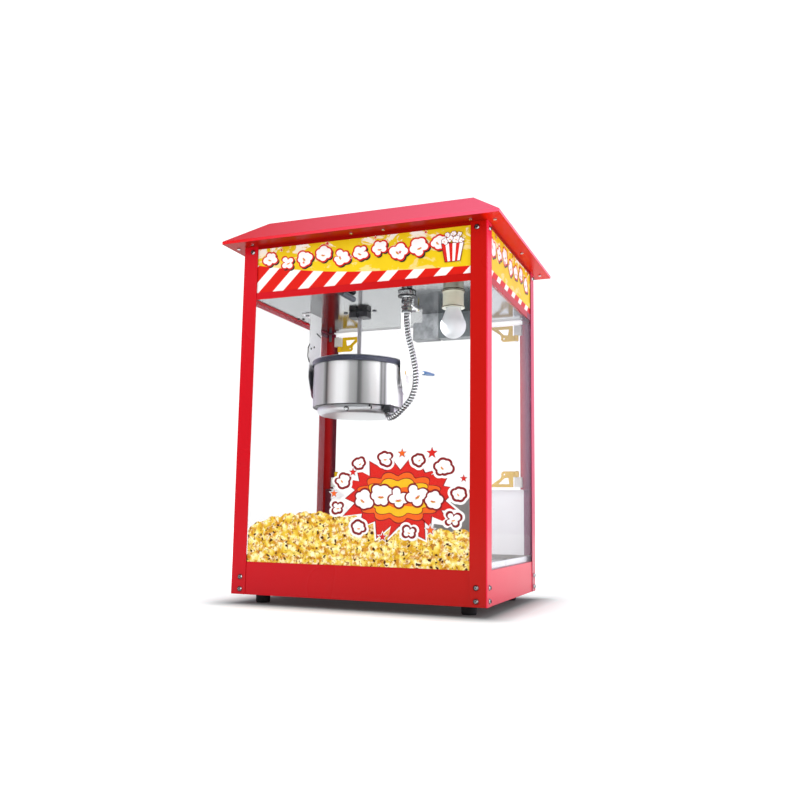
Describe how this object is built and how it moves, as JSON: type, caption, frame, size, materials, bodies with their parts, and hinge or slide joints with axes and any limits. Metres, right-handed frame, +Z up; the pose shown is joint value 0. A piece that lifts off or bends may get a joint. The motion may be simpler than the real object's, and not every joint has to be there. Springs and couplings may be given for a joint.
{
  "type": "popcorn maker",
  "caption": "Countertop popcorn maker: red glazed cabinet with a hip roof, tilting stirred kettle, warming lamp, rear doors and crumb drawer.",
  "frame": {"origin": "centre of the footprint, on the plane that the feet stand on", "axes": "+X to the right of the printed front, +Y to the operator's side with the doors, +Z up"},
  "size_m": [0.576, 0.454, 0.77],
  "materials": {
    "red_paint": "glossy red enamel",
    "stainless": "satin",
    "mirror_stainless": "mirror polished sheet",
    "kettle_polish": "polished",
    "clear_glass": "clear",
    "acrylic": "clear",
    "print_film": "printed film",
    "sign_print": "printed acrylic",
    "yellow_plate": "gloss",
    "rubber_black": "matt",
    "black_plastic": "satin",
    "red_plastic": "gloss",
    "white_plastic": "satin",
    "blue_grip": "dipped vinyl",
    "zinc": "zinc plated",
    "dark_steel": "dark blue-grey, satin",
    "cast_alloy": "cast, satin",
    "motor_grey": "satin",
    "heater": "matt",
    "ceramic": "glazed ceramic",
    "bulb_white": "frosted",
    "box_grey": "dark grey",
    "light_grey": "light grey moulding",
    "brass": "turned",
    "conduit": "ribbed conduit"
  },
  "bodies": {
    "cabinet": {"base_skirt": "red_paint", "floor_tray": "stainless", "feet": "rubber_black", "post_front_left": "red_paint", "post_front_right": "red_paint", "post_rear_left": "red_paint", "post_rear_right": "red_paint", "header_rail": "red_paint", "header_top": "red_paint", "ceiling_plate": "mirror_stainless", "roof": "red_paint", "sign_front": "sign_print", "sign_left": "sign_print", "sign_right": "sign_print", "control_panel": "red_paint", "front_glass": "clear_glass", "left_glass": "clear_glass", "right_glass": "clear_glass", "front_film": "print_film", "rear_panel": "stainless", "cabinet_screws": "zinc", "roof_screws": "zinc", "ceiling_screws": "zinc", "hinge_blocks": "white_plastic", "hinge_pins": "zinc", "gear_motor": "motor_grey", "lamp_socket": "ceramic", "lamp_bulb": "bulb_white", "control_box": "box_grey", "terminal_box": "light_grey", "ceiling_buffer": "rubber_black", "switch_frames": "black_plastic", "cable_gland": "black_plastic", "hose_gland": "zinc", "kettle_hose": "conduit", "left_hanger": "stainless", "right_hanger": "stainless"},
    "left_door": {"left_door": "acrylic", "left_door_brackets": "yellow_plate"},
    "right_door": {"right_door": "acrylic", "right_door_brackets": "yellow_plate"},
    "crumb_drawer": {"crumb_drawer": "stainless"},
    "drive": {"drive_coupling": "black_plastic"},
    "kettle": {"kettle_shell": "kettle_polish", "kettle_pot": "kettle_polish", "kettle_rim": "dark_steel", "heater_plate": "heater", "kettle_pan": "kettle_polish", "kettle_ears": "dark_steel", "kettle_pivots": "brass", "lid_bridge": "stainless", "dump_handle": "stainless", "handle_grip": "blue_grip", "hose_terminal": "black_plastic"},
    "lid_front": {"lid_front": "stainless"},
    "lid_rear": {"lid_rear": "stainless"},
    "stirrer": {"stirrer": "cast_alloy"},
    "light_rocker": {"light_rocker": "red_plastic"},
    "heat_rocker": {"heat_rocker": "red_plastic"},
    "motor_rocker": {"motor_rocker": "red_plastic"}
  },
  "joints": [
    {"name": "left_door_hinge", "type": "hinge", "parent": "cabinet", "child": "left_door", "pos_m": [-0.2185, 0.185, 0.417], "axis": [0, 0, 1], "range_deg": [0, 100]},
    {"name": "right_door_hinge", "type": "hinge", "parent": "cabinet", "child": "right_door", "pos_m": [0.2185, 0.185, 0.417], "axis": [0, 0, -1], "range_deg": [0, 100]},
    {"name": "crumb_drawer_slide", "type": "slide", "parent": "cabinet", "child": "crumb_drawer", "axis": [0, 1, 0], "range_m": [0, 0.3]},
    {"name": "drive_spin", "type": "hinge", "parent": "cabinet", "child": "drive", "pos_m": [-0.082, 0, 0.6], "axis": [0, 0, 1], "continuous": true},
    {"name": "kettle_tilt", "type": "hinge", "parent": "cabinet", "child": "kettle", "pos_m": [-0.082, 0, 0.47], "axis": [1, 0, 0], "range_deg": [-80, 0], "deforming": ["kettle_hose"]},
    {"name": "stirrer_spin", "type": "hinge", "parent": "kettle", "child": "stirrer", "pos_m": [-0.082, 0, 0.45], "axis": [0, 0, 1], "continuous": true},
    {"name": "lid_front_hinge", "type": "hinge", "parent": "kettle", "child": "lid_front", "pos_m": [-0.082, -0.0155, 0.4995], "axis": [-1, 0, 0], "range_deg": [0, 85]},
    {"name": "lid_rear_hinge", "type": "hinge", "parent": "kettle", "child": "lid_rear", "pos_m": [-0.082, 0.0155, 0.4995], "axis": [1, 0, 0], "range_deg": [0, 85]},
    {"name": "light_switch", "type": "hinge", "parent": "cabinet", "child": "light_rocker", "pos_m": [0.1, 0.1828, 0.658], "axis": [1, 0, 0], "range_deg": [0, 18]},
    {"name": "heat_switch", "type": "hinge", "parent": "cabinet", "child": "heat_rocker", "pos_m": [0.14, 0.1828, 0.658], "axis": [1, 0, 0], "range_deg": [0, 18]},
    {"name": "motor_switch", "type": "hinge", "parent": "cabinet", "child": "motor_rocker", "pos_m": [0.18, 0.1828, 0.658], "axis": [1, 0, 0], "range_deg": [0, 18]}
  ],
  "couplings": [
    {"joint": "stirrer_spin", "follows": "drive_spin", "ratio": 1}
  ]
}
